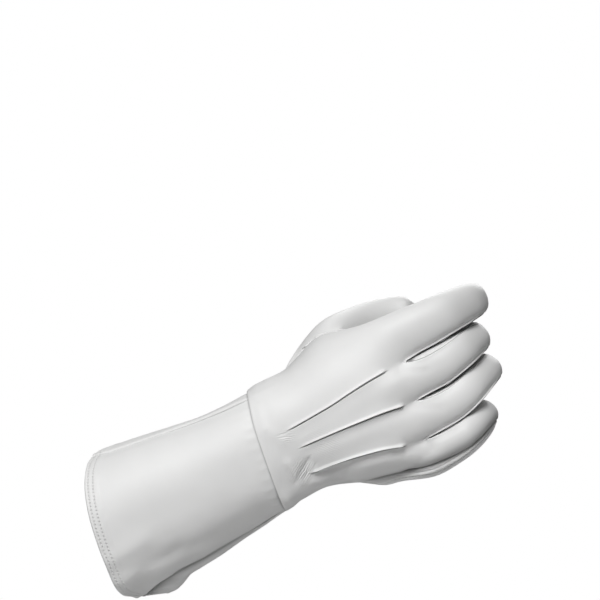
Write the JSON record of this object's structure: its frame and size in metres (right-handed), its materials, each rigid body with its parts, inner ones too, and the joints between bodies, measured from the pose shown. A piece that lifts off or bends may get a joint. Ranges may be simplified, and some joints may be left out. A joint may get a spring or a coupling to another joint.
{
  "type": "leather gauntlet glove",
  "caption": "White leather gauntlet glove for the right hand, with a flared cuff and raised points on its back, shaped as if gripping a bar.",
  "frame": {"origin": "centre of the cuff's mouth, where the forearm goes in", "axes": "+X along the forearm from the cuff's mouth to the fingers, -Y out of the back of the hand, +Z towards the thumb side"},
  "size_m": [0.2746, 0.1084, 0.112],
  "materials": {
    "gauntlet_leather": "smooth, semi-matte, fine grain",
    "hand_leather": "smooth, semi-matte, fine grain",
    "thread": "fine sewing thread"
  },
  "bodies": {
    "root": {"gauntlet_back": "gauntlet_leather", "gauntlet_palm": "gauntlet_leather", "hand_back": "hand_leather", "hand_palm": "hand_leather", "fourchette_index_middle": "hand_leather", "fourchette_middle_ring": "hand_leather", "fourchette_ring_little": "hand_leather", "thumb": "hand_leather"}
  },
  "joints": []
}
